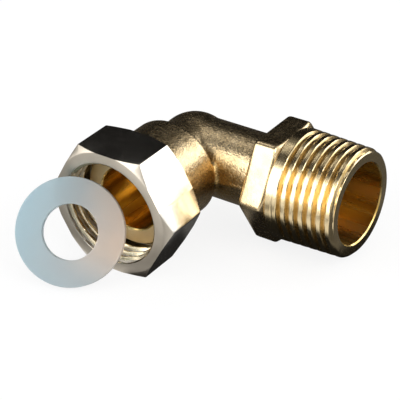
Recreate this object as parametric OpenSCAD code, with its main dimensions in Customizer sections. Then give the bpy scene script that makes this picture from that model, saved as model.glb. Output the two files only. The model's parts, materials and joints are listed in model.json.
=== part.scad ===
// Right-angle union fitting: a forged elbow with a male taper pipe thread on one arm
// and a swivel union nut on the other, with its flat sealing ring leaning in the nut's mouth.
// X runs out along the male thread, the nut opens towards -Y, Z is up. The origin lies on
// the thread's axis at the shoulder where the thread leaves the hexagon.

/* [Male thread] */
// Outside diameter of the male thread
thread_d = 20.955; // [18:0.005:22]
// Length of the threaded spigot, shoulder to end face
thread_len = 13.75; // [10:0.05:20]
// Chamfer that starts the thread
thread_chamfer = 0.6; // [0.2:0.1:1]
// Spacing of the crests, 14 to the inch, on the male thread and in the nut
thread_pitch = 1.814; // [1.7:0.001:2.4]
// Width of the flat on each crest of the male thread and in each root
thread_flat = 0.35; // [0.2:0.05:0.4]
// Plain length between the shoulder and the first groove
thread_plain = 2; // [1:0.1:4]
// Bore of the spigot
spigot_bore_d = 15.5; // [13:0.1:16]
// Depth of the spigot's bore from its end face
spigot_bore_depth = 18; // [10:0.5:19]

/* [Hexagon on the elbow] */
// Width across the flats of the elbow's hexagon
hex_af = 20.4; // [20:0.1:26]
// Length of the hexagon along the thread's axis
hex_len = 5.2; // [3:0.1:7]
// Diameter at which the hexagon's shoulder meets its corner chamfers
hex_ring_d = 21.2; // [21:0.1:22]

/* [Elbow] */
// Distance from the tail's axis to the hexagon's shoulder
elbow_reach = 22.6; // [20:0.1:30]
// Outside diameter of the neck between the bend and the hexagon
neck_d = 14.5; // [14.2:0.1:15]
// Outside diameter of the tail's neck between the bend and its collar
tail_neck_d = 14.9; // [14.7:0.1:15]
// Diameter of the round heel at the bend
heel_d = 15.2; // [15.1:0.1:16]
// Waterway inside the neck
waterway_d = 12; // [8:0.1:12.2]
// Radius of the forged root where the neck meets the hexagon
neck_root = 1.2; // [0.3:0.1:2]

/* [Tail] */
// Distance from the thread's axis to the tail's sealing face
tail_reach = 20.8; // [19:0.1:30]
// Diameter of the forged collar behind the nut
collar_d = 19.5; // [17:0.1:21]
// Length of the forged collar
collar_len = 9.7; // [6:0.1:11]
// Rounding of the collar's edge at the bend
collar_round = 0.9; // [0.2:0.1:1.5]
// Diameter of the turned tail that the nut runs on
tail_d = 15.2; // [14.6:0.1:16]
// Diameter of the flange that keeps the nut on
flange_d = 18.6; // [17.5:0.1:18.8]
// Thickness of the flange
flange_t = 1.6; // [1:0.1:2.5]
// Bore of the tail
tail_bore_d = 12.6; // [12.3:0.1:13.2]

/* [Union nut] */
// Width across the flats of the nut
nut_af = 23.8; // [23.4:0.1:28]
// Length of the nut
nut_len = 10.1; // [9:0.1:14]
// Diameter at which the nut's end faces meet their corner chamfers
nut_ring_d = 24.2; // [22:0.1:26]
// Minor diameter of the nut's thread
nut_thread_d = 19.1; // [19:0.05:19.3]
// Major diameter of the nut's thread
nut_root_d = 20.955; // [20.5:0.005:21.4]
// Thickness of the wall at the back of the nut
nut_wall = 2.2; // [1:0.1:3]
// Length of the relief between the thread and the back wall
relief_len = 2; // [1.5:0.1:3]
// Depth of the relief below the thread's minor radius
relief_depth = 0.3; // [0.1:0.05:0.6]
// Width of the countersink in the nut's mouth
mouth_bevel = 0.6; // [0.2:0.1:1]
// Radial clearance between the nut and the tail
nut_fit = 0.1; // [0.05:0.01:0.4]
// End float between the nut's wall and the flange
nut_float = 0.2; // [0.1:0.05:0.5]
// Gap between the nut's back and the collar
nut_back_gap = 0.3; // [0.1:0.05:1]

/* [Sealing ring] */
// Outside diameter of the sealing ring
ring_d = 20; // [18:0.1:21]
// Hole in the sealing ring
ring_hole_d = 10.2; // [8:0.1:13]
// Thickness of the sealing ring
ring_t = 2; // [1:0.1:3]
// How far the leaning ring is tilted back from upright, in degrees
ring_lean = 32; // [25:1:40]
// How far the leaning ring is turned from the nut's axis, in degrees
ring_turn = 30; // [20:1:40]
// How far the leaning ring stands to the side of the nut's axis
ring_side = 5; // [3:0.1:7]
// Clearance between the leaning ring and the wall of the nut
ring_gap = 0.2; // [0.1:0.05:0.3]

/* [Hidden] */
$fn = 96;
// Angle of a hexagon's end chamfers, and the steps in a rounded profile
chamfer_angle = 30;
round_steps = 6;
// Small overlap that joins solids or runs a cut past a face
join = 1;
// Angle between a thread's flank and the plane across its axis
flank_angle = 27.5;

// Places along the tail's axis, as distances from the thread's axis
flange_back = tail_reach - flange_t;
nut_shoulder = flange_back - nut_float;
nut_back = nut_shoulder - nut_wall;
nut_front = nut_back + nut_len;
collar_end = nut_back - nut_back_gap;
collar_start = collar_end - collar_len;
nut_bore_r = nut_thread_d / 2;
relief_r = nut_bore_r + relief_depth;
mouth_r = nut_bore_r + mouth_bevel;
// Both threads' grooves, drawn as rings, with their depths and where the nut's begin
thread_depth = (thread_pitch / 2 - thread_flat) / tan(flank_angle);
nut_thread_depth = (nut_root_d - nut_thread_d) / 2;
nut_crest = thread_pitch - thread_flat - 2 * nut_thread_depth * tan(flank_angle);
nut_thread_end = nut_front - mouth_bevel;
relief_end = nut_shoulder + relief_len + relief_depth;
// The nut's lower flat and the sealing ring stand on this level
floor_z = -nut_af / 2;

brass = "#b9975b";
nickel = "#c4c0b4";
milky = "#d5dcdd";

// Solid of revolution about X, from [place along X, radius] pairs
module turned_x(profile) {
    rotate([0, 90, 0])
        rotate_extrude()
            polygon([for (p = profile) [p[1], p[0]]]);
}

// Solid of revolution about the tail's axis, from [distance along -Y, radius] pairs
module turned_tail(profile) {
    translate([-elbow_reach, 0, 0])
        rotate([90, 0, 0])
            rotate_extrude()
                polygon([for (p = profile) [p[1], p[0]]]);
}

// Hexagonal bar along Z from 0 to len, its corners chamfered at the top, or at both ends
module chamfered_hex(af, len, ring_d, both) {
    corner = af / sqrt(3);
    drop = (corner + join - ring_d / 2) * tan(chamfer_angle);
    foot = both ? [[0, 0], [ring_d / 2, 0], [corner + join, drop]] : [[0, 0], [corner + join, 0]];
    intersection() {
        cylinder(r = corner, h = len, $fn = 6);
        rotate_extrude()
            polygon(concat(foot, [[corner + join, len - drop], [ring_d / 2, len], [0, len]]));
    }
}

// Quarter-round points of radius r about [x, y], from one angle to another
function arc_points(x, y, r, from, to) =
    [for (i = [0:round_steps]) let (a = from + (to - from) * i / round_steps) [x + r * cos(a), y + r * sin(a)]];

// Grooves of a thread from one place along its axis to another, as [place, radius] pairs. They
// go in from radius r by depth, or out from it where depth is negative, and each has a crest
// after it.
function groove_points(from, to, crest, r, depth) =
    let (flank = abs(depth) * tan(flank_angle))
    [for (i = [0:floor((to - from) / thread_pitch) - 1])
        for (p = [[0, 0], [flank, 1], [flank + thread_flat, 1], [thread_pitch - crest, 0]])
            [from + i * thread_pitch + p[0], r - p[1] * depth]];

module neck() {
    end = -hex_len + join;
    root_x = -hex_len - neck_root;
    root_r = neck_d / 2 + neck_root;
    turned_x(concat(
        [[-elbow_reach, 0], [-elbow_reach, neck_d / 2]],
        arc_points(root_x, root_r, neck_root, -90, 0),
        [[end, root_r], [end, 0]]));
}

module hexagon_collar() {
    translate([-hex_len, 0, 0])
        rotate([0, 90, 0])
            rotate([0, 0, 30])
                chamfered_hex(hex_af, hex_len, hex_ring_d, false);
}

module spigot() {
    r = thread_d / 2;
    root_r = hex_af / 2 - join;
    start = thread_len - thread_chamfer;
    turned_x(concat(
        [[-join, 0], [-join, root_r], [0, root_r], [0, r]],
        groove_points(thread_plain, start, thread_flat, r, thread_depth),
        [[start, r], [thread_len, r - thread_chamfer], [thread_len, 0]]));
}

module tail() {
    r = collar_d / 2;
    turned_tail(concat(
        [[0, 0], [0, tail_neck_d / 2], [collar_start, tail_neck_d / 2]],
        arc_points(collar_start + collar_round, r - collar_round, collar_round, 180, 90),
        [[collar_end, r],
         [collar_end, tail_d / 2],
         [flange_back, tail_d / 2],
         [flange_back, flange_d / 2],
         [tail_reach, flange_d / 2],
         [tail_reach, 0]]));
}

// The two bores meet in the bend, and each ends in the cone of its drill
module waterway() {
    wide = spigot_bore_d / 2;
    narrow = waterway_d / 2;
    step_x = thread_len - spigot_bore_depth;
    turned_x([
        [-elbow_reach, 0],
        [-elbow_reach, narrow],
        [step_x - (wide - narrow), narrow],
        [step_x, wide],
        [thread_len + join, wide],
        [thread_len + join, 0]]);
    tail_r = tail_bore_d / 2;
    turned_tail([
        [-tail_r, 0],
        [-tail_r / 2, tail_r],
        [tail_reach + join, tail_r],
        [tail_reach + join, 0]]);
}

module elbow_body() {
    color(brass)
        difference() {
            union() {
                translate([-elbow_reach, 0, 0]) sphere(d = heel_d);
                neck();
                hexagon_collar();
                spigot();
                tail();
            }
            waterway();
        }
}

module union_nut() {
    color(nickel)
        difference() {
            translate([-elbow_reach, -nut_back, 0])
                rotate([90, 0, 0])
                    chamfered_hex(nut_af, nut_len, nut_ring_d, true);
            turned_tail(concat(
                [[nut_back - join, 0],
                 [nut_back - join, tail_d / 2 + nut_fit],
                 [nut_shoulder, tail_d / 2 + nut_fit],
                 [nut_shoulder, relief_r],
                 [nut_shoulder + relief_len, relief_r],
                 [relief_end, nut_bore_r]],
                groove_points(relief_end + nut_crest, nut_thread_end, nut_crest, nut_bore_r, -nut_thread_depth),
                [[nut_thread_end, nut_bore_r],
                 [nut_front + join, mouth_r + join],
                 [nut_front + join, 0]]));
        }
}

// The sealing ring stands on its rim with its upper edge in the nut's mouth. Its centre is
// as far in as its rim lets it go, which the functions below find by halving the interval.
ring_z = floor_z + ring_d / 2 * cos(ring_lean) + ring_t / 2 * sin(ring_lean);
ring_normal = [sin(ring_turn) * cos(ring_lean), -cos(ring_turn) * cos(ring_lean), sin(ring_lean)];
ring_across = [cos(ring_turn), sin(ring_turn), 0];
ring_up = cross(ring_normal, ring_across);
rim_step = 3;
rim = [
    for (face = [-1, 1], a = [0:rim_step:360 - rim_step])
        ring_normal * face * ring_t / 2 + (ring_across * cos(a) + ring_up * sin(a)) * ring_d / 2];
halvings = 16;

// Room that a rim point has inside the nut, where s is how far the ring's centre is out
function wall_r(depth) = nut_bore_r + max(0, mouth_bevel - depth);
function rim_room(p, s) =
    let (depth = nut_front - s + p[1])
    depth < 0 ? ring_d : wall_r(depth) - norm([p[0] - ring_side, p[2] + ring_z]);
function ring_room(s) = min([for (p = rim) rim_room(p, s)]);
function lean_in(clear, tight, steps) =
    let (mid = (clear + tight) / 2)
    steps == 0 ? clear : ring_room(mid) >= ring_gap ? lean_in(mid, tight, steps - 1) : lean_in(clear, mid, steps - 1);
ring_out = lean_in(nut_front + ring_d, nut_front, halvings);

module sealing_ring() {
    color(milky)
        translate([-elbow_reach - ring_side, -ring_out, ring_z])
            rotate([0, 0, ring_turn])
                rotate([90 - ring_lean, 0, 0])
                    difference() {
                        cylinder(d = ring_d, h = ring_t, center = true);
                        cylinder(d = ring_hole_d, h = ring_t + join, center = true);
                    }
}

elbow_body();
union_nut();
sealing_ring();
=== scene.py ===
"""Looks of a right-angle pipe union: forged brass elbow, nickel-plated union nut, sealing ring.

Lengths are in millimetres until a mesh is made, and the frame's own sizes come first.
"""
import json
import math

import bmesh
import bpy
import numpy as np
from mathutils import Matrix, Vector

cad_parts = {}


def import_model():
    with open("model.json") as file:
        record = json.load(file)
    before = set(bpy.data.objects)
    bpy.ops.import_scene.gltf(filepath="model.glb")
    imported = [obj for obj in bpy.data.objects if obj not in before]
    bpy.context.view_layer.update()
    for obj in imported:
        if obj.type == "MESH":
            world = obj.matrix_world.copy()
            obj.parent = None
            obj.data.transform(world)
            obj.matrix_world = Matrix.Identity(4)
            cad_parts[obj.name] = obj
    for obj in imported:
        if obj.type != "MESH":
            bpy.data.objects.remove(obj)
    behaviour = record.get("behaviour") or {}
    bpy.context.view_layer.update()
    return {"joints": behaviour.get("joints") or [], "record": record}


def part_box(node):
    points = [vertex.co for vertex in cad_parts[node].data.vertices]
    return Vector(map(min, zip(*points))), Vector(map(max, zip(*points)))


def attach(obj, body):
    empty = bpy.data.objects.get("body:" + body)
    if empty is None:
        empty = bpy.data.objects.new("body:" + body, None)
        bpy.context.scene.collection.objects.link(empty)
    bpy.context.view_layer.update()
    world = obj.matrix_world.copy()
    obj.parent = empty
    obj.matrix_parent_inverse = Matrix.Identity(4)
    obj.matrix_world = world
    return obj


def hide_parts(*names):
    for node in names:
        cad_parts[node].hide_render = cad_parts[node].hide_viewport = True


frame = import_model()

MM = 0.001
# Both hexagons are chamfered at 30 degrees
COS_30 = math.cos(math.radians(30))
CHAMFER_SLOPE = math.tan(math.radians(30))

# Sizes read from the frame
MOUNTS = {m["name"]: m for m in frame["record"]["mounts"]}
ELBOW_LOW, ELBOW_HIGH = (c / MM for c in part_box("elbow_body"))
NUT_LOW, NUT_HIGH = (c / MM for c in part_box("union_nut"))
RING_LOW, RING_HIGH = (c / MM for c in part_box("sealing_ring"))
FLOOR_Z = NUT_LOW.z
TAIL_X = frame["joints"][0]["pos_m"][0] / MM
THREAD_R = MOUNTS["male_thread"]["dims"]["r_mm"]
THREAD_END = ELBOW_HIGH.x
NUT_MINOR_R = MOUNTS["nut_thread"]["dims"]["r_mm"]
NUT_FRONT = -NUT_LOW.y
NUT_BACK = -NUT_HIGH.y
NUT_AF = NUT_HIGH.z - NUT_LOW.z
TAIL_END = -ELBOW_LOW.y

# Pipe thread: its pitch, and the taper of its radius, which is THREAD_R at the gauge length from the end
PITCH = 25.4 / 14
TAPER = 1 / 32
GAUGE_LENGTH = 8.0
# Width of the crest, width of the root, and depth, as shares of the pitch
MALE_FORM = (0.42, 0.08, 0.44)
FEMALE_FORM = (0.30, 0.14, 0.5124)
MALE_DEPTH = MALE_FORM[2] * PITCH
FEMALE_DEPTH = FEMALE_FORM[2] * PITCH
THREAD_ROUND = 0.08

# Male spigot: its chamfer, where along the pitch a crest passes, and the plain band beside the hexagon
# with its broken edge, its margin to the thread and the thread's run-out
THREAD_CHAMFER = 0.6
THREAD_PHASE = 0.06
PLAIN_BAND = 1.2
BAND_BREAK = 0.12
BAND_MARGIN = 0.15
RUNOUT = 1.3
SPIGOT_BORE_R = 7.75
SPIGOT_BORE_DEPTH = 18.0
BORE_BREAK = 0.22
# Depth below the crests from which the thread has the grooves' darker brass, whose colour is painted shade
SHADED_GROOVE_START = 0.1

# Neck and bend of the forging
NECK_R = 7.25
TAIL_NECK_R = 7.45
HEEL_R = 7.6
WATERWAY_R = 6.0
NECK_END_ROUND = 0.1
HEEL_ROUND = 0.2
# Fillet in the crotch of the bend, and the share of it that is left at the top and bottom of the neck
CROTCH_FILLET = 1.2
CROTCH_LEAST = 0.1
SEAM_HEIGHT = 0.08
SEAM_HALF_WIDTH = 0.35
SEAM_ROUND = 0.3

# Hexagon of the forging
HEX_AF = 20.4
HEX_LEN = 5.2
HEX_RING_R = 10.6
HEX_FILLET = 1.3
HEX_CORNER_ROUND = 0.7
HEX_END_ROUND = 0.8
HEX_BEVEL_ROUND = 0.2

# Collar, tail and flange
COLLAR_R = 9.75
COLLAR_START = 6.8
COLLAR_END = 16.5
COLLAR_BACK_ROUND = 1.1
COLLAR_FRONT_ROUND = 0.3
# Fillet between the collar and the bend, and the height at which it has come down from the crotch's
COLLAR_FILLET = 0.45
COLLAR_FILLET_END = 4.0
TAIL_R = 7.6
FLANGE_R = 9.3
FLANGE_T = 1.6
FLANGE_EDGE = 0.2
TAIL_BORE_R = 6.3

# How far the joined shapes reach into each other, and the cutting ones past what they cut
OVERLAP = 1.0
INNER_OVERLAP = 2.0

# Union nut
NUT_RING_R = 12.1
NUT_WALL = 2.2
NUT_BORE_R = 7.7
RELIEF_LEN = 2.0
MOUTH_BEVEL = 0.6
NUT_CORNER_ROUND = 0.25
NUT_EDGE = 0.14
# Faces this far within the mouth's edge have the thread's nickel, yellowed by a painted reflection of the
# brass
THREAD_MARGIN = 0.05
# Faces whose normal leans this far towards the nut's ends have their satin finish and a darker colour,
# which is painted shade
SATIN_AND_SHADE_LEAN = 0.3

# Sealing ring
RING_R = 10.0
RING_HOLE_R = 5.1
RING_T = 2.0
RING_LEAN = math.radians(32)
RING_TURN = math.radians(30)
RING_EDGE = 0.18

# Fineness of the meshes
TURNS = 240
ANGLES = np.linspace(0, 2 * np.pi, TURNS, endpoint=False)
ROW_STEP = 0.1
CELL = 0.3
FLAT_POINTS = 38
CORNER_POINTS = 5
EDGE_POINTS = 5
CARD_STEPS = 12
# Points closer than this are joined, in metres
WELD_DISTANCE = 1e-7
# Angles between faces, in degrees, from which an edge stays sharp
ELBOW_SHARP = 38
NUT_SHARP = 25
RING_SHARP = 40

# Skin of the forging: the stretch of X over which its pebbling calms towards the hexagon and what is
# left of it there, and the distances between which the painted shade in the crotch fades out
HEX_CALM = ((-7.5, -5.0), 0.3)
CROTCH_SHADE_REACH = (2.0, 7.0)
# Tint by which the painted shade darkens the forging's colour in the crotch
CROTCH_SHADE_TINT = (0.66, 0.55, 0.36)
# Levels between which a noise mostly lies
NOISE_RANGE = (0.3, 0.7)

# Camera: its angles, how far in front of it the elbow's two axes cross, its focal length and the
# picture's width in pixels, the pixel on which that crossing is seen, and the sensor's width
CAM_AZIMUTH = math.radians(36.1)
CAM_ELEVATION = math.radians(31.65)
CAM_ROLL = math.radians(-1.97)
CAM_DISTANCE = 300.0
CAM_FOCAL = 1568.5
PICTURE = 400
CROSSING_PIXEL = (195.19, 150.54)
SENSOR = 36.0

# Studio, in metres and degrees, with azimuth turned from +Y towards +X
STUDIO_CENTRE = Vector((-10, -8, 0)) * MM
STUDIO_RADIUS = 0.9
CARD_RADIUS = 1.1
SKY_LEVEL = 0.62
FLOOR_GLOW = 0.85
# Softboxes: azimuth and elevation, width and height, and radiance as a share of white
SOFTBOXES = {
    "front_box": (-150, 22, 54, 50, 2.6),
    "side_box": (108, 40, 36, 24, 5.0),
    "back_box": (36, 21, 46, 32, 2.3),
    "top_strip": (-73, 55, 22, 12, 1.1),
}
# Dark cards that only reflections see: azimuths, elevations and radiance
DARK_CARDS = {
    "back_card": ((-116, 20), (-2, 49), 0.012),
    "upper_card": ((-60, 20), (49, 62), 0.2),
    "gap_card": ((-140, -90), (48, 62), 0.03),
    "front_ceiling": ((100, 260), (62, 90), 0.04),
    "back_ceiling": ((-100, 100), (62, 90), 0.2),
    "camera_card": ((114, 162), (-2, 28), 0.1),
}
# Dark sheets on the floor that only reflections see, as painted shadow of the object and darker floor, in
# millimetres: left, right, front and back edges, the width over which they fade, and their radiance
DARK_AND_SHADOW_MATS = {
    "thread_mat": (-13, 24, -24, 1100, 6, 0.012),
    "end_mat": (16, 1100, -24, 1100, 6, 0.10),
    "back_mat": (-1100, 24, 20, 1100, 10, 0.02),
    "left_mat": (-1100, -41, -70, 1100, 16, 0.05),
    "nut_mat": (-21, -8, -30, -8, 3, 0.02),
    "neck_mat": (-27, -8, -14, 6, 3, 0.09),
    "front_mat": (-62, -2, -46, -25, 8, 0.22),
    "chamfer_mat": (-14, 9, -80, -45, 6, 0.12),
}
# Height of each dark sheet over the one before it, in millimetres
MAT_GAP = 0.02
# Colour in which the dark cards and sheets glow
CARD_TINT = (1, 0.97, 0.92)
# Half the floor's width, in millimetres
FLOOR_HALF = 2000
FLOOR_COLOR = (0.92, 0.92, 0.92)


def smooth_min(a, b, k):
    """Union of two distances with a fillet of about k."""
    h = np.clip(0.5 + 0.5 * (b - a) / k, 0, 1)
    return b + (a - b) * h - k * h * (1 - h)


def smooth_max(a, b, k):
    """Intersection of two distances with its edge rounded by about k."""
    return -smooth_min(-a, -b, k)


def rod(along, radius, start, end, r):
    """Distance to a round bar, where along and radius are a point's place and distance from its axis."""
    return smooth_max(radius - r, np.maximum(start - along, along - end), NECK_END_ROUND)


def near_plane(z, reach, least):
    """Share that falls from 1 in the elbow's own plane to its least value at a height."""
    return np.clip(1 - (z / reach) ** 2, least, 1)


def bend(x, y, z):
    """Distance to the two necks that meet in the heel, with the die's parting line."""
    neck = rod(x, np.hypot(y, z), TAIL_X, INNER_OVERLAP - HEX_LEN, NECK_R)
    tail_neck = rod(-y, np.hypot(x - TAIL_X, z), 0.0, COLLAR_START + INNER_OVERLAP, TAIL_NECK_R)
    heel = np.sqrt((x - TAIL_X) ** 2 + y**2 + z**2) - HEEL_R
    crotch = CROTCH_FILLET * near_plane(z, NECK_R, CROTCH_LEAST)
    body = smooth_min(smooth_min(neck, tail_neck, crotch), heel, HEEL_ROUND)
    seam = np.maximum(body - SEAM_HEIGHT, np.abs(z) - SEAM_HALF_WIDTH)
    return smooth_min(body, seam, SEAM_ROUND)


def collar(x, y, z):
    """Distance to the round collar behind the nut."""
    back = smooth_max(np.hypot(x - TAIL_X, z) - COLLAR_R, COLLAR_START + y, COLLAR_BACK_ROUND)
    return smooth_max(back, -y - COLLAR_END, COLLAR_FRONT_ROUND)


def hexagon(x, y, z):
    """Distance to the hexagon, which is bevelled at 30 degrees on the spigot's side."""
    flats = [np.abs(z), np.abs(z * 0.5 + y * COS_30), np.abs(z * 0.5 - y * COS_30)]
    across = smooth_max(smooth_max(flats[0], flats[1], HEX_CORNER_ROUND), flats[2], HEX_CORNER_ROUND)
    ends = np.maximum(-HEX_LEN - x, x)
    bevel = ((np.hypot(y, z) - HEX_RING_R) * CHAMFER_SLOPE + x) * COS_30
    return smooth_max(smooth_max(across - HEX_AF / 2, ends, HEX_END_ROUND), bevel, HEX_BEVEL_ROUND)


def forging(p):
    """Distance to the forged part of the elbow, below zero inside."""
    x, y, z = np.moveaxis(p, -1, 0)
    root = COLLAR_FILLET + (CROTCH_FILLET - COLLAR_FILLET) * near_plane(z, COLLAR_FILLET_END, 0)
    body = smooth_min(bend(x, y, z), collar(x, y, z), root)
    return smooth_min(body, hexagon(x, y, z), HEX_FILLET)


def gradient(field, p, h=0.01):
    """Gradient of a field, from its values a step of h to either side."""
    steps = np.eye(3) * h
    return np.stack([(field(p + s) - field(p - s)) / (2 * h) for s in steps], -1)


def surface_of(field, low, high, cell):
    """Closed quad mesh of the field's zero surface: one point in each cell that the surface crosses."""
    axes = [np.arange(lo, hi + cell, cell) for lo, hi in zip(low, high)]
    values = field(np.stack(np.meshgrid(*axes, indexing="ij"), -1))
    counts = np.array(values.shape) - 1
    corner_steps = [(i, j, k) for i in (0, 1) for j in (0, 1) for k in (0, 1)]

    def corner(step):
        return values[tuple(slice(i, i + count) for i, count in zip(step, counts))]

    total = np.zeros((*counts, 3))
    hits = np.zeros(counts)
    for a in corner_steps:
        for axis in range(3):
            if a[axis]:
                continue
            b = tuple(1 if i == axis else a[i] for i in range(3))
            va, vb = corner(a), corner(b)
            cross = (va < 0) != (vb < 0)
            t = np.where(cross, va / np.where(va == vb, 1, va - vb), 0)
            for i in range(3):
                total[..., i] += cross * (a[i] + (t if i == axis else 0))
            hits += cross
    active = hits > 0
    index = np.full(counts, -1)
    index[active] = np.arange(active.sum())
    places = np.argwhere(active) + total[active] / hits[active][:, None]
    points = np.array([ax[0] for ax in axes]) + places * cell
    inside = values < 0
    quads = []
    for axis in range(3):
        u, v = (axis + 1) % 3, (axis + 2) % 3
        lower = [slice(None)] * 3
        lower[axis] = slice(0, -1)
        upper = [slice(None)] * 3
        upper[axis] = slice(1, None)
        for flip in (False, True):
            edge = (inside[tuple(lower)] != flip) & (inside[tuple(upper)] == flip)
            at = np.argwhere(edge)
            cells = []
            for du, dv in ((-1, -1), (0, -1), (0, 0), (-1, 0)):
                c = at.copy()
                c[:, u] += du
                c[:, v] += dv
                cells.append(index[tuple(c.T)])
            quads.append(np.stack(cells[::-1] if flip else cells, -1))
    return points, np.concatenate(quads)


def settle(field, points, rounds=4):
    """Moves points along the field's gradient until they lie on its zero surface."""
    for _ in range(rounds):
        g = gradient(field, points)
        points = points - g * (field(points) / np.maximum((g**2).sum(-1), 1e-6))[:, None]
    return points


def add_object(name, data):
    """Object of a mesh, lamp or camera, in the scene."""
    piece = bpy.data.objects.new(name, data)
    bpy.context.scene.collection.objects.link(piece)
    return piece


def new_object(name, points, faces, *materials):
    """Object of a mesh in millimetres, whose faces have the first material until told otherwise."""
    mesh = bpy.data.meshes.new(name)
    mesh.from_pydata((np.asarray(points) * MM).tolist(), [], np.asarray(faces).tolist())
    for material in materials:
        mesh.materials.append(material)
    tidy_mesh(mesh)
    return add_object(name, mesh)


def tidy_mesh(mesh):
    """Joins coincident points, drops faces without area and turns all faces outwards."""
    bm = bmesh.new()
    bm.from_mesh(mesh)
    bmesh.ops.remove_doubles(bm, verts=bm.verts, dist=WELD_DISTANCE)
    bmesh.ops.recalc_face_normals(bm, faces=bm.faces)
    bm.to_mesh(mesh)
    bm.free()


def shade(piece, angle):
    """Smooth shading that keeps the edges sharp from an angle in degrees."""
    piece.data.shade_smooth()
    piece.data.set_sharp_from_angle(angle=math.radians(angle))


def combine(target, tool, operation):
    """Joins the tool to the target, or cuts it from it, and keeps each side's own materials."""
    change = target.modifiers.new("change", "BOOLEAN")
    change.object = tool
    change.operation = operation
    change.solver = "MANIFOLD"
    change.material_mode = "TRANSFER"
    evaluated = target.evaluated_get(bpy.context.evaluated_depsgraph_get())
    mesh = bpy.data.meshes.new_from_object(evaluated)
    target.modifiers.clear()
    target.data = mesh
    bpy.data.objects.remove(tool)


def skin_faces(rows, turns, closed):
    """Quads between the rows of a turned surface, and from the last row to the first if it is closed."""
    i, j = np.meshgrid(np.arange(rows if closed else rows - 1), np.arange(turns), indexing="ij")
    i2, j2 = (i + 1) % rows, (j + 1) % turns
    return np.stack([i * turns + j, i * turns + j2, i2 * turns + j2, i2 * turns + j], -1).reshape(-1, 4)


def around_x(place, radius, angle):
    """Points about the male thread's axis, so far along it and from it."""
    return np.stack([place + 0 * radius, -radius * np.cos(angle), radius * np.sin(angle)], -1)


def around_tail(place, radius, angle):
    """Points about the nut's axis, so far along it and from it."""
    return np.stack([TAIL_X + radius * np.sin(angle), -place + 0 * radius, radius * np.cos(angle)], -1)


def turned(name, profile, around, *materials):
    """Solid of revolution from pairs of place along the axis and radius, which may follow the angle."""
    rows = [around(s, r + 0 * ANGLES, ANGLES) for s, r in profile]
    return new_object(name, np.concatenate(rows), skin_faces(len(rows), TURNS, False), *materials)


def thread_form(phase, form):
    """Height over the root of a thread with flat crests and roots, where the crest is at phase 0."""
    crest, root, depth = (share * PITCH for share in form)
    away = np.abs((phase + 0.5) % 1 - 0.5) * PITCH
    flank = depth * (PITCH / 2 - root / 2 - away) / (PITCH / 2 - root / 2 - crest / 2)
    return smooth_min(depth, smooth_max(0, flank, THREAD_ROUND), THREAD_ROUND)


def crest_radius(s):
    """Radius of the male thread's crests, which the taper narrows towards its end."""
    return THREAD_R + TAPER * (THREAD_END - GAUGE_LENGTH - s)


def spigot():
    """Male taper thread with its plain band, run-out and starting chamfer, as a solid rod."""
    profile = [(-OVERLAP, 0), (-OVERLAP, HEX_AF / 2 - OVERLAP)]
    threaded = np.arange(PLAIN_BAND, THREAD_END, ROW_STEP)
    for s in (0.0, BAND_BREAK, PLAIN_BAND - BAND_MARGIN, *threaded, THREAD_END):
        phase = s / PITCH - THREAD_PHASE + ANGLES / (2 * np.pi)
        cut = MALE_DEPTH - thread_form(phase, MALE_FORM)
        fade = np.clip((s - PLAIN_BAND) / RUNOUT, 0, 1)
        r = crest_radius(s) - cut * fade - max(0, BAND_BREAK - s)
        profile.append((s, np.minimum(r, crest_radius(s) - THREAD_CHAMFER + THREAD_END - s)))
    profile.append((THREAD_END, 0))
    piece = turned("spigot", profile, around_x, turned_brass(), shaded_groove_brass())
    for face in piece.data.polygons:
        s, y, z = face.center / MM
        below_crest = crest_radius(s) - math.hypot(y, z)
        # Faces deep in the grooves take the darker brass, as painted shade
        if below_crest > SHADED_GROOVE_START and PLAIN_BAND < s < THREAD_END - THREAD_CHAMFER:
            face.material_index = 1
    return piece


def tail():
    """Turned tail in front of the collar, with the flange that keeps the nut on."""
    flange_start = TAIL_END - FLANGE_T
    return turned("tail", [
        (COLLAR_END - OVERLAP, 0), (COLLAR_END - OVERLAP, TAIL_R), (flange_start, TAIL_R),
        (flange_start, FLANGE_R - FLANGE_EDGE), (flange_start + FLANGE_EDGE, FLANGE_R),
        (TAIL_END - FLANGE_EDGE, FLANGE_R), (TAIL_END, FLANGE_R - FLANGE_EDGE), (TAIL_END, 0)],
        around_tail, tail_brass())


def spigot_bore():
    """What the drill takes from the spigot and the neck, with the broken edge of the mouth."""
    step = THREAD_END - SPIGOT_BORE_DEPTH
    return turned("spigot_bore", [
        (TAIL_X, 0), (TAIL_X, WATERWAY_R), (step - (SPIGOT_BORE_R - WATERWAY_R), WATERWAY_R),
        (step, SPIGOT_BORE_R), (THREAD_END - BORE_BREAK, SPIGOT_BORE_R),
        (THREAD_END + OVERLAP, SPIGOT_BORE_R + BORE_BREAK + OVERLAP), (THREAD_END + OVERLAP, 0)],
        around_x, bore_brass("bore_brass", cloud=3.6, stretch=(16, 1, 1)))


def tail_bore():
    """What the drill takes from the tail, with the cone of its tip and the broken edge of the mouth."""
    return turned("tail_bore", [
        (-TAIL_BORE_R, 0), (-TAIL_BORE_R / 2, TAIL_BORE_R), (TAIL_END - BORE_BREAK, TAIL_BORE_R),
        (TAIL_END + OVERLAP, TAIL_BORE_R + BORE_BREAK + OVERLAP), (TAIL_END + OVERLAP, 0)],
        around_tail, bore_brass("tail_bore_brass", cloud=6.5, stretch=(1, 16, 1)))


def elbow():
    """Forging, spigot and tail with their bores, as one closed mesh."""
    # A hexagon's corners are at 0.58 of its width across flats
    reach = HEX_AF * 0.6
    low = [TAIL_X - COLLAR_R - OVERLAP, -COLLAR_END - OVERLAP, -reach]
    high = [OVERLAP, reach + OVERLAP, reach]
    points, quads = surface_of(forging, low, high, CELL)
    piece = new_object("elbow", settle(forging, points), quads, forged_brass())
    combine(piece, spigot(), "UNION")
    combine(piece, tail(), "UNION")
    combine(piece, spigot_bore(), "DIFFERENCE")
    combine(piece, tail_bore(), "DIFFERENCE")
    return piece


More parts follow.
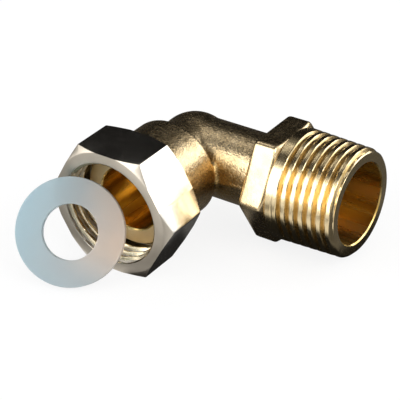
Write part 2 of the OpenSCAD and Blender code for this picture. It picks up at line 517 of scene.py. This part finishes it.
def hexagon_outline(af, corner_round, per_side, per_corner):
    """Points of a hexagon with rounded corners, as angle from the top and distance from the centre."""
    corner = af / math.sqrt(3)
    inner = corner - corner_round / COS_30
    points = []
    for side in range(6):
        start = math.radians(60 * side - 30)
        normal = start + math.radians(30)
        centre = np.array([math.sin(start), math.cos(start)]) * inner
        for k in range(per_corner):
            a = normal - math.radians(60) * (1 - k / (per_corner - 1))
            points.append(centre + corner_round * np.array([math.sin(a), math.cos(a)]))
        end = start + math.radians(60)
        following = np.array([math.sin(end), math.cos(end)]) * inner
        out = corner_round * np.array([math.sin(normal), math.cos(normal)])
        for k in range(1, per_side):
            points.append(centre + (following - centre) * k / per_side + out)
    points = np.array(points)
    return np.arctan2(points[:, 0], points[:, 1]), np.hypot(points[:, 0], points[:, 1])


def rounded_profile(profile, radius, most=0.45):
    """Rounds every inner corner of rows of [place, radius], by at most a share of the shorter side."""
    rounded = [profile[0]]
    for before, here, after in zip(profile[:-2], profile[1:-1], profile[2:]):
        back, ahead = before - here, after - here
        len_back = np.linalg.norm(back, axis=-1, keepdims=True)
        len_ahead = np.linalg.norm(ahead, axis=-1, keepdims=True)
        reach = np.minimum(radius, most * np.minimum(len_back, len_ahead))
        a = here + back / np.maximum(len_back, 1e-9) * reach
        b = here + ahead / np.maximum(len_ahead, 1e-9) * reach
        rounded += [a, (a + 2 * here + b) / 4, b]
    return rounded + [profile[-1]]


def union_nut():
    """Hexagon nut with chamfered ends and a helical female thread, as one closed ring of rows."""
    angle, outline = hexagon_outline(NUT_AF, NUT_CORNER_ROUND, FLAT_POINTS, CORNER_POINTS)
    count = len(angle)
    ring = np.minimum(NUT_RING_R, outline)
    drop = (outline - ring) * CHAMFER_SLOPE
    mouth_r = NUT_MINOR_R + MOUTH_BEVEL
    major_r = NUT_MINOR_R + FEMALE_DEPTH
    wall_front = NUT_BACK + NUT_WALL
    thread_start = wall_front + RELIEF_LEN

    def row(place, radius):
        return np.stack([np.broadcast_to(place, count), np.broadcast_to(radius, count)], -1).astype(float)

    outside = rounded_profile([
        row(NUT_FRONT - MOUTH_BEVEL, NUT_MINOR_R), row(NUT_FRONT, mouth_r), row(NUT_FRONT, ring),
        row(NUT_FRONT - drop, outline), row(NUT_BACK + drop, outline), row(NUT_BACK, ring),
        row(NUT_BACK, NUT_BORE_R), row(wall_front, NUT_BORE_R), row(wall_front, major_r),
        row(thread_start, major_r)], NUT_EDGE)
    inside = []
    for s in np.arange(thread_start, NUT_FRONT, ROW_STEP)[1:]:
        phase = s / PITCH - angle / (2 * np.pi)
        r = NUT_MINOR_R + thread_form(phase, FEMALE_FORM)
        inside.append(row(s, np.maximum(r, mouth_r - (NUT_FRONT - s))))
    rows = outside[1:] + inside
    points = np.concatenate([around_tail(*r.T, angle) for r in rows])
    faces = skin_faces(len(rows), count, True)
    piece = new_object("nut", points, faces, nickel_plate(), nickel_thread(), nickel_face())
    for face in piece.data.polygons:
        x, y, z = face.center / MM
        within = math.hypot(x - TAIL_X, z) < mouth_r - THREAD_MARGIN
        if within and -y > NUT_BACK + NUT_WALL / 2:
            face.material_index = 1
        # The ends take the satin nickel, whose darker colour is painted shade
        elif abs(face.normal.y) > SATIN_AND_SHADE_LEAN:
            face.material_index = 2
    return piece


def sealing_ring():
    """Flat ring with rounded edges, turned and leaned as it rests in the nut's mouth."""
    half = RING_T / 2
    corners = [(-half, RING_HOLE_R), (half, RING_HOLE_R), (half, RING_R), (-half, RING_R)]
    section = []
    for n, here in enumerate(corners):
        here = np.array(here)
        back = np.array(corners[n - 1]) - here
        ahead = np.array(corners[(n + 1) % 4]) - here
        a = here + back / np.linalg.norm(back) * RING_EDGE
        b = here + ahead / np.linalg.norm(ahead) * RING_EDGE
        for t in np.linspace(0, 1, EDGE_POINTS):
            section.append((1 - t) ** 2 * a + 2 * t * (1 - t) * here + t**2 * b)
    place, radius = np.repeat(section, TURNS, axis=0).T
    turn = np.tile(ANGLES, len(section))
    flat = np.stack([radius * np.cos(turn), radius * np.sin(turn), place], -1)
    tilt = Matrix.Rotation(RING_TURN, 3, "Z") @ Matrix.Rotation(math.radians(90) - RING_LEAN, 3, "X")
    points = flat @ np.array(tilt).T + np.array((RING_LOW + RING_HIGH) / 2)
    return new_object("ring", points, skin_faces(len(section), TURNS, True), silicone())


def nodes_of(name):
    """New material, with its nodes, links and shader."""
    material = bpy.data.materials.new(name)
    material.use_nodes = True
    tree = material.node_tree
    return tree.nodes, tree.links, tree.nodes["Principled BSDF"], material


def noise(nodes, links, grain, detail=2.0, roughness=0.5, stretch=(1, 1, 1)):
    """Noise in the piece's own space whose grains are about so many millimetres across."""
    place = nodes.new("ShaderNodeTexCoord")
    scaled = nodes.new("ShaderNodeMapping")
    scaled.inputs["Scale"].default_value = [1 / (MM * grain * s) for s in stretch]
    links.new(place.outputs["Object"], scaled.inputs["Vector"])
    texture = nodes.new("ShaderNodeTexNoise")
    texture.inputs["Scale"].default_value = 1
    texture.inputs["Detail"].default_value = detail
    texture.inputs["Roughness"].default_value = roughness
    links.new(scaled.outputs["Vector"], texture.inputs["Vector"])
    return texture.outputs["Fac"]


def ramp(nodes, links, source, stops):
    """Colours or grey levels laid out along a value, as (place, colour) pairs."""
    node = nodes.new("ShaderNodeValToRGB")
    node.color_ramp.elements[0].position = stops[0][0]
    node.color_ramp.elements[1].position = stops[-1][0]
    for place, _ in stops[1:-1]:
        node.color_ramp.elements.new(place)
    for element, (_, color) in zip(node.color_ramp.elements, stops):
        element.color = (*color, 1) if isinstance(color, tuple) else (color, color, color, 1)
    links.new(source, node.inputs["Fac"])
    return node.outputs["Color"]


def mottled(nodes, links, source, pair):
    """Two colours or grey levels, one at the low end of a noise and one at its high end."""
    return ramp(nodes, links, source, list(zip(NOISE_RANGE, pair)))


def bump(nodes, links, height, depth, before=None):
    """Bump from a height of 0 to 1 that stands for so many millimetres."""
    node = nodes.new("ShaderNodeBump")
    node.inputs["Strength"].default_value = 1
    node.inputs["Distance"].default_value = depth * MM
    links.new(height, node.inputs["Height"])
    if before is not None:
        links.new(before, node.inputs["Normal"])
    return node.outputs["Normal"]


def eased(nodes, links, source, places, values):
    """Value that goes smoothly from one level to another as a length does, in millimetres."""
    node = nodes.new("ShaderNodeMapRange")
    node.interpolation_type = "SMOOTHSTEP"
    node.inputs["From Min"].default_value = places[0] * MM
    node.inputs["From Max"].default_value = places[1] * MM
    node.inputs["To Min"].default_value = values[0]
    node.inputs["To Max"].default_value = values[1]
    links.new(source, node.inputs["Value"])
    return node.outputs["Result"]


def between(nodes, links, axis, places, values):
    """Value that changes from one place to another along an axis of the piece, in millimetres."""
    coordinates = nodes.new("ShaderNodeTexCoord")
    split = nodes.new("ShaderNodeSeparateXYZ")
    links.new(coordinates.outputs["Object"], split.inputs["Vector"])
    return eased(nodes, links, split.outputs[axis], places, values)


def combined(nodes, links, operation, a, b):
    """Two values brought together, where b may be a plain number, or b alone where a is None."""
    if a is None:
        return b
    node = nodes.new("ShaderNodeMath")
    node.operation = operation
    links.new(a, node.inputs[0])
    if isinstance(b, float):
        node.inputs[1].default_value = b
    else:
        links.new(b, node.inputs[1])
    return node.outputs[0]


def metal(name, cloud, colors, roughness, bumps, calm=None, drawn=(1, 1, 1), detail=4):
    """Metal with a broad noise in its colour, a finer one in its roughness, and bumps.

    The bumps are (grain, detail, depth, stretch), and calm is a stretch of X and what it leaves of them.
    Drawn is how far the colour and the roughness are drawn out along each axis, and detail is how fine
    their noise gets.
    """
    nodes, links, shader, material = nodes_of(name)
    shader.inputs["Metallic"].default_value = 1
    tint = noise(nodes, links, cloud, detail, stretch=drawn)
    links.new(mottled(nodes, links, tint, colors), shader.inputs["Base Color"])
    mottle = noise(nodes, links, cloud / 3, detail, stretch=drawn)
    links.new(mottled(nodes, links, mottle, roughness), shader.inputs["Roughness"])
    normal = None
    for grain, fineness, depth, stretch in bumps:
        height = noise(nodes, links, grain, fineness, roughness=0.6, stretch=stretch)
        normal = bump(nodes, links, height, depth, normal)
        if calm:
            strength = between(nodes, links, "X", calm[0], (1, calm[1]))
            links.new(strength, normal.node.inputs["Strength"])
    links.new(normal, shader.inputs["Normal"])
    return material


def painted_shade_near(material, place, reach, tint):
    """Painted shade: multiplies the colour by a tint around a place, fading out between two distances in
    millimetres.
    """
    nodes, links = material.node_tree.nodes, material.node_tree.links
    shader = nodes["Principled BSDF"]
    color = shader.inputs["Base Color"].links[0].from_socket
    coordinates = nodes.new("ShaderNodeTexCoord")
    away = nodes.new("ShaderNodeVectorMath")
    away.operation = "DISTANCE"
    away.inputs[1].default_value = Vector(place) * MM
    links.new(coordinates.outputs["Object"], away.inputs[0])
    mixed = nodes.new("ShaderNodeMix")
    mixed.data_type = "RGBA"
    mixed.blend_type = "MULTIPLY"
    links.new(eased(nodes, links, away.outputs["Value"], reach, (1, 0)), mixed.inputs["Factor"])
    links.new(color, mixed.inputs["A"])
    mixed.inputs["B"].default_value = (*tint, 1)
    links.new(mixed.outputs["Result"], shader.inputs["Base Color"])


def forged_brass():
    """Brass as it leaves the die and the shot blast: pebbled, calmer on the hexagon, with painted shade
    darkening the crotch.
    """
    material = metal(
        "forged_brass", cloud=2.5, colors=((0.60, 0.45, 0.25), (0.74, 0.58, 0.35)), roughness=(0.20, 0.32),
        bumps=[(1.6, 2, 0.08, (1, 1, 1)), (0.38, 2, 0.08, (1, 1, 1)), (0.22, 1, 0.03, (1, 1, 1))],
        calm=HEX_CALM)
    # Painted shade: the colour darkens towards the crotch of the bend
    painted_shade_near(material, (TAIL_X + COLLAR_R, -NECK_R, 0), CROTCH_SHADE_REACH, CROTCH_SHADE_TINT)
    return material


def turned_brass():
    """Brass cut on the lathe: bright, with fine rings about the thread's axis."""
    return metal(
        "turned_brass", cloud=4, colors=((0.72, 0.56, 0.31), (0.80, 0.65, 0.40)), roughness=(0.16, 0.24),
        bumps=[(0.25, 1, 0.010, (0.3, 8, 8)), (1.5, 2, 0.01, (1, 1, 1))])


def shaded_groove_brass():
    """Flanks and roots of the thread, darker and deeper in colour than the crests, as painted shade in the
    grooves.
    """
    return metal(
        "shaded_groove_brass", cloud=3, colors=((0.58, 0.41, 0.17), (0.70, 0.52, 0.26)), roughness=(0.18, 0.28),
        bumps=[(0.25, 1, 0.008, (0.3, 8, 8)), (1.5, 2, 0.01, (1, 1, 1))])


def bore_brass(name, cloud, stretch):
    """Drilled and oiled brass, deep in colour, with streaks along the bore."""
    return metal(
        name, cloud, colors=((0.57, 0.36, 0.09), (1.0, 0.78, 0.34)), roughness=(0.20, 0.32),
        bumps=[(0.9, 0, 0.004, stretch)], drawn=stretch, detail=1)


def tail_brass():
    """Brass of the tail and its flange, turned about the nut's axis, and paler than the other brass as
    painted light on the flange, which sits in the shade of the nut's mouth.
    """
    # Pale colours: painted light on the shaded flange
    return metal(
        "tail_brass", cloud=4, colors=((0.90, 0.71, 0.40), (0.96, 0.78, 0.48)), roughness=(0.46, 0.54),
        bumps=[(0.25, 1, 0.004, (8, 0.3, 8))])


def nickel_plate():
    """Bright nickel on the nut's flats."""
    return metal(
        "nickel_plate", cloud=5, colors=((0.67, 0.63, 0.57), (0.72, 0.68, 0.62)), roughness=(0.17, 0.22),
        bumps=[(0.3, 2, 0.003, (1, 1, 1)), (3.0, 2, 0.015, (1, 1, 1))])


def nickel_face():
    """Nickel over the turned ends of the nut, satin beside its flats and darker than them as painted shade.
    """
    return metal(
        "nickel_face", cloud=5, colors=((0.51, 0.455, 0.375), (0.57, 0.515, 0.43)), roughness=(0.34, 0.42),
        bumps=[(0.25, 1, 0.006, (1, 8, 1)), (3.0, 2, 0.02, (1, 1, 1))])


def nickel_thread():
    """Nickel inside the nut, with a yellow tone that is a painted reflection of the brass within."""
    return metal(
        # Yellowish colours: painted reflection of the brass
        "nickel_thread", cloud=4, colors=((0.66, 0.55, 0.36), (0.80, 0.69, 0.49)), roughness=(0.16, 0.26),
        bumps=[(0.3, 1, 0.004, (8, 0.5, 8))])


def silicone():
    """Milky silicone with painted light in its colour: bluish on its free side, as a bluish background seen
    through it, and warm towards the nut and upwards, as the nut's warm light on it.
    """
    nodes, links, shader, material = nodes_of("silicone")
    # Painted light: the colour goes from bluish to warm towards the nut and upwards
    sideways = between(nodes, links, "X", (RING_LOW.x, RING_HIGH.x), (0, 0.9))
    upward = between(nodes, links, "Z", (RING_LOW.z, RING_LOW.z + RING_R * 0.7), (0.5, 1))
    painted_warmth = combined(nodes, links, "MULTIPLY", sideways, upward)
    cloud = combined(nodes, links, "MULTIPLY", noise(nodes, links, grain=5, detail=3), 0.2)
    color = ramp(nodes, links, combined(nodes, links, "ADD", painted_warmth, cloud), [
        (0.1, (0.41, 0.54, 0.59)), (0.55, (0.45, 0.49, 0.50)), (1.0, (0.66, 0.56, 0.48))])
    links.new(color, shader.inputs["Base Color"])
    haze = noise(nodes, links, grain=0.8, detail=3)
    links.new(mottled(nodes, links, haze, (0.42, 0.55)), shader.inputs["Roughness"])
    skin = noise(nodes, links, grain=0.5, detail=2)
    links.new(bump(nodes, links, skin, depth=0.006), shader.inputs["Normal"])
    shader.inputs["IOR"].default_value = 1.41
    shader.inputs["Transmission Weight"].default_value = 0.45
    shader.inputs["Subsurface Weight"].default_value = 0.6
    shader.inputs["Subsurface Radius"].default_value = (1, 1, 1)
    shader.inputs["Subsurface Scale"].default_value = 1.5 * MM
    return material


def camera():
    """Camera at the photograph's angle, which puts the crossing of the elbow's axes on its pixel."""
    back = Vector((
        math.sin(CAM_AZIMUTH) * math.cos(CAM_ELEVATION),
        -math.cos(CAM_AZIMUTH) * math.cos(CAM_ELEVATION),
        math.sin(CAM_ELEVATION)))
    level = Vector((math.cos(CAM_AZIMUTH), math.sin(CAM_AZIMUTH), 0))
    upright = back.cross(level)
    right = level * math.cos(CAM_ROLL) + upright * math.sin(CAM_ROLL)
    up = upright * math.cos(CAM_ROLL) - level * math.sin(CAM_ROLL)
    turn = Matrix((right, up, back)).transposed()
    seen = Vector((
        (CROSSING_PIXEL[0] - PICTURE / 2) / CAM_FOCAL * CAM_DISTANCE,
        -(CROSSING_PIXEL[1] - PICTURE / 2) / CAM_FOCAL * CAM_DISTANCE,
        -CAM_DISTANCE))
    place = Vector((TAIL_X, 0, 0)) - turn @ seen
    data = bpy.data.cameras.new("camera")
    data.sensor_width = SENSOR
    data.lens = CAM_FOCAL / PICTURE * SENSOR
    data.clip_start = 0.01
    piece = add_object("camera", data)
    piece.matrix_world = Matrix.Translation(place * MM) @ turn.to_4x4()
    bpy.context.scene.camera = piece


def toward(azimuth, elevation, distance):
    """Way from the studio's centre: azimuth is turned from +Y towards +X, in degrees."""
    a, e = math.radians(azimuth), math.radians(elevation)
    return Vector((math.sin(a) * math.cos(e), math.cos(a) * math.cos(e), math.sin(e))) * distance


def softbox(name, azimuth, elevation, width, height, level):
    """Area lamp so many degrees wide and high, with its radiance as a share of white."""
    data = bpy.data.lights.new(name, "AREA")
    data.shape = "RECTANGLE"
    data.size = 2 * STUDIO_RADIUS * math.tan(math.radians(width / 2))
    data.size_y = 2 * STUDIO_RADIUS * math.tan(math.radians(height / 2))
    data.energy = level * math.pi * data.size * data.size_y
    lamp = add_object(name, data)
    lamp.visible_camera = False
    way = toward(azimuth, elevation, STUDIO_RADIUS)
    lamp.location = STUDIO_CENTRE + way
    lamp.rotation_euler = way.to_track_quat("Z", "Y").to_euler()


def stage_sheet(name, points, faces, material):
    """Sheet of the studio, with its points in metres."""
    mesh = bpy.data.meshes.new(name)
    mesh.from_pydata([tuple(p) for p in points], [], faces)
    mesh.materials.append(material)
    sheet = add_object(name, mesh)
    return sheet


def level_corners(left, right, front, back, z):
    """Corners of a level rectangle, given in millimetres."""
    corners = ((left, front), (right, front), (right, back), (left, back))
    return [Vector((x, y, z)) * MM for x, y in corners]


def reflections_only(name, points, faces, level):
    """Dim glowing sheet that neither the camera nor the light on the object sees."""
    nodes, links, shader, material = nodes_of(name)
    shader.inputs["Base Color"].default_value = (0, 0, 0, 1)
    shader.inputs["Specular IOR Level"].default_value = 0
    shader.inputs["Emission Color"].default_value = (*CARD_TINT, 1)
    shader.inputs["Emission Strength"].default_value = level
    sheet = stage_sheet(name, points, faces, material)
    sheet.visible_camera = False
    sheet.visible_diffuse = False
    sheet.visible_transmission = False
    sheet.visible_shadow = False
    return nodes, links, shader


def dark_card(name, azimuths, elevations, level):
    """Curved dark screen, as a photographer's black flag."""
    side = CARD_STEPS + 1
    points = []
    for azimuth in np.linspace(*azimuths, side):
        for elevation in np.linspace(*elevations, side):
            points.append(STUDIO_CENTRE + toward(azimuth, elevation, CARD_RADIUS))
    starts = [i * side + j for i in range(CARD_STEPS) for j in range(CARD_STEPS)]
    reflections_only(name, points, [(k, k + 1, k + side + 1, k + side) for k in starts], level)


def dark_and_shadow_mat(name, height, left, right, front, back, fade, level):
    """Dark sheet that lies on the floor and fades out towards its edges, as painted shadow seen in
    reflections.
    """
    points = level_corners(left, right, front, back, FLOOR_Z + height)
    nodes, links, shader = reflections_only(name, points, [(0, 1, 2, 3)], level)
    cover = None
    for axis, edge, inner in (
            ("X", left, left + fade), ("X", right, right - fade),
            ("Y", front, front + fade), ("Y", back, back - fade)):
        faded = between(nodes, links, axis, (edge, inner), (0, 1))
        cover = combined(nodes, links, "MULTIPLY", cover, faded)
    links.new(cover, shader.inputs["Alpha"])


def background_seen(nodes, links):
    """One where the camera, a reflection or a view through the ring meets the background."""
    path = nodes.new("ShaderNodeLightPath")
    seen = None
    for ray in ("Is Camera Ray", "Is Glossy Ray", "Is Transmission Ray"):
        seen = combined(nodes, links, "MAXIMUM", seen, path.outputs[ray])
    return seen


def mixed_shader(nodes, links, share, first, second):
    """Two shaders in one, by the share of the second."""
    node = nodes.new("ShaderNodeMixShader")
    links.new(share, node.inputs[0])
    links.new(first, node.inputs[1])
    links.new(second, node.inputs[2])
    return node.outputs["Shader"]


def floor():
    """White floor with the object's shadow. It glows in part where it is seen, and is clear from below."""
    nodes, links, shader, material = nodes_of("floor_white")
    shader.inputs["Base Color"].default_value = (*FLOOR_COLOR, 1)
    shader.inputs["Roughness"].default_value = 0.9
    shader.inputs["Specular IOR Level"].default_value = 0.1
    glow = nodes.new("ShaderNodeEmission")
    clear = nodes.new("ShaderNodeBsdfTransparent")
    facing = nodes.new("ShaderNodeNewGeometry")
    share = combined(nodes, links, "MULTIPLY", background_seen(nodes, links), FLOOR_GLOW)
    above = mixed_shader(nodes, links, share, shader.outputs["BSDF"], glow.outputs["Emission"])
    surface = mixed_shader(nodes, links, facing.outputs["Backfacing"], above, clear.outputs["BSDF"])
    links.new(surface, nodes["Material Output"].inputs["Surface"])
    points = level_corners(-FLOOR_HALF, FLOOR_HALF, -FLOOR_HALF, FLOOR_HALF, FLOOR_Z)
    stage_sheet("floor", points, [(0, 1, 2, 3)], material)


def world():
    """Plain pale light all round, and white where the background is seen."""
    sky = bpy.data.worlds.new("studio")
    bpy.context.scene.world = sky
    sky.use_nodes = True
    nodes, links = sky.node_tree.nodes, sky.node_tree.links
    pick = nodes.new("ShaderNodeMix")
    pick.data_type = "RGBA"
    pick.inputs["A"].default_value = (SKY_LEVEL, SKY_LEVEL, SKY_LEVEL, 1)
    pick.inputs["B"].default_value = (1, 1, 1, 1)
    links.new(background_seen(nodes, links), pick.inputs["Factor"])
    links.new(pick.outputs["Result"], nodes["Background"].inputs["Color"])


def studio():
    """White surroundings, softboxes that draw the bright bands, and dark cards between them."""
    world()
    floor()
    for name, box in SOFTBOXES.items():
        softbox(name, *box)
    for name, card in DARK_CARDS.items():
        dark_card(name, *card)
    # Dark sheets of painted shadow on the floor, one over another
    for layer, (name, mat) in enumerate(DARK_AND_SHADOW_MATS.items(), 1):
        dark_and_shadow_mat(name, MAT_GAP * layer, *mat)


camera()
studio()

elbow_piece = elbow()
shade(elbow_piece, ELBOW_SHARP)
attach(elbow_piece, "elbow")
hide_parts("elbow_body")

nut_piece = union_nut()
shade(nut_piece, NUT_SHARP)
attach(nut_piece, "nut")
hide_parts("union_nut")

ring_piece = sealing_ring()
shade(ring_piece, RING_SHARP)
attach(ring_piece, "elbow")
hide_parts("sealing_ring")

bpy.context.scene.view_settings.view_transform = "Standard"
